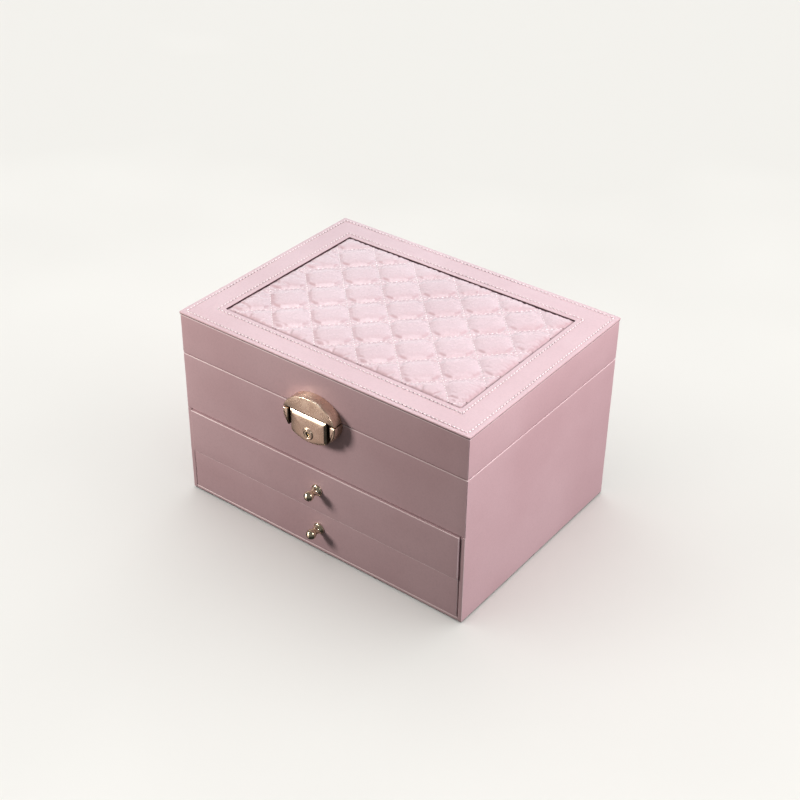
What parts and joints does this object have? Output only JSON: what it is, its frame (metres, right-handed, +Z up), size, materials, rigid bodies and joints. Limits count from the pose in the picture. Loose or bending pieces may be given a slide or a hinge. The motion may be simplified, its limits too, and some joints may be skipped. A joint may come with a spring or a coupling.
{
  "type": "jewellery chest",
  "caption": "Rectangular wrapped-board jewellery chest with a hinged quilted lid, a mirror, an oval front lock and drawers with ball knobs under the top compartment.",
  "frame": {"origin": "centre of the box's footprint on the floor plane, under the felt", "axes": "+X to the right seen from the front, +Y to the back, +Z up; the lock and the drawers face -Y"},
  "size_m": [0.231, 0.1885, 0.1442],
  "materials": {
    "pink_leatherette": "satin embossed polyurethane leatherette over board",
    "cream_velvet": "short-pile velvet",
    "pale_gold_metal": "satin pale-gold plating",
    "plated_steel": "zinc plated",
    "mirror_glass": "silvered glass",
    "grey_felt": "pressed felt"
  },
  "bodies": {
    "chest": {"base_felt": "grey_felt", "base_panel": "pink_leatherette", "left_side_panel": "pink_leatherette", "right_side_panel": "pink_leatherette", "back_panel": "pink_leatherette", "front_apron": "pink_leatherette", "compartment_floor": "pink_leatherette", "drawer_shelf": "pink_leatherette", "compartment_liner": "cream_velvet", "long_divider": "cream_velvet", "left_cross_divider": "cream_velvet", "right_cross_divider": "cream_velvet", "ring_roll_1": "cream_velvet", "ring_roll_2": "cream_velvet", "ring_roll_3": "cream_velvet", "ring_roll_4": "cream_velvet", "ring_roll_5": "cream_velvet", "left_hinge_body_leaf": "pale_gold_metal", "right_hinge_body_leaf": "pale_gold_metal", "hinge_pins": "pale_gold_metal", "hinge_body_screws": "pale_gold_metal", "lock_base": "pale_gold_metal", "lock_base_screws": "plated_steel", "lock_springs": "plated_steel"},
    "lid": {"lid_front": "pink_leatherette", "lid_back": "pink_leatherette", "lid_left": "pink_leatherette", "lid_right": "pink_leatherette", "lid_top_frame": "pink_leatherette", "lid_backing_board": "pink_leatherette", "quilted_pad": "pink_leatherette", "lid_liner": "cream_velvet", "mirror_surround": "cream_velvet", "mirror": "mirror_glass", "left_hinge_lid_leaf": "pale_gold_metal", "right_hinge_lid_leaf": "pale_gold_metal", "hinge_lid_screws": "pale_gold_metal", "lock_cap": "pale_gold_metal", "lock_hook": "plated_steel", "lock_cap_screws": "plated_steel"},
    "shield": {"lock_button": "pale_gold_metal"},
    "barrel": {"lock_barrel": "pale_gold_metal", "lock_cam": "plated_steel"},
    "upper_drawer": {"upper_drawer_front": "pink_leatherette", "upper_drawer_sides": "cream_velvet", "upper_drawer_back": "cream_velvet", "upper_drawer_bottom": "cream_velvet", "upper_drawer_liner": "cream_velvet", "upper_drawer_dividers": "cream_velvet", "upper_drawer_knob": "pale_gold_metal", "upper_drawer_knob_screw": "plated_steel"},
    "lower_drawer": {"lower_drawer_front": "pink_leatherette", "lower_drawer_sides": "cream_velvet", "lower_drawer_back": "cream_velvet", "lower_drawer_bottom": "cream_velvet", "lower_drawer_liner": "cream_velvet", "lower_drawer_dividers": "cream_velvet", "lower_drawer_knob": "pale_gold_metal", "lower_drawer_knob_screw": "plated_steel"}
  },
  "joints": [
    {"name": "lid_hinge", "type": "hinge", "parent": "chest", "child": "lid", "pos_m": [0, 0.0879, 0.1116], "axis": [-1, 0, 0], "range_deg": [0, 100]},
    {"name": "upper_drawer_slide", "type": "slide", "parent": "chest", "child": "upper_drawer", "axis": [0, -1, 0], "range_m": [0, 0.12]},
    {"name": "lower_drawer_slide", "type": "slide", "parent": "chest", "child": "lower_drawer", "axis": [0, -1, 0], "range_m": [0, 0.12]},
    {"name": "lock_button_slide", "type": "slide", "parent": "chest", "child": "shield", "axis": [0, 0, -1], "range_m": [0, 0.003], "stiffness_N_per_m": 400, "springref_m": -0.003, "deforming": ["lock_springs"]},
    {"name": "lock_barrel_turn", "type": "hinge", "parent": "shield", "child": "barrel", "pos_m": [0, -0.09, 0.1004], "axis": [0, -1, 0], "range_deg": [0, 90]}
  ]
}
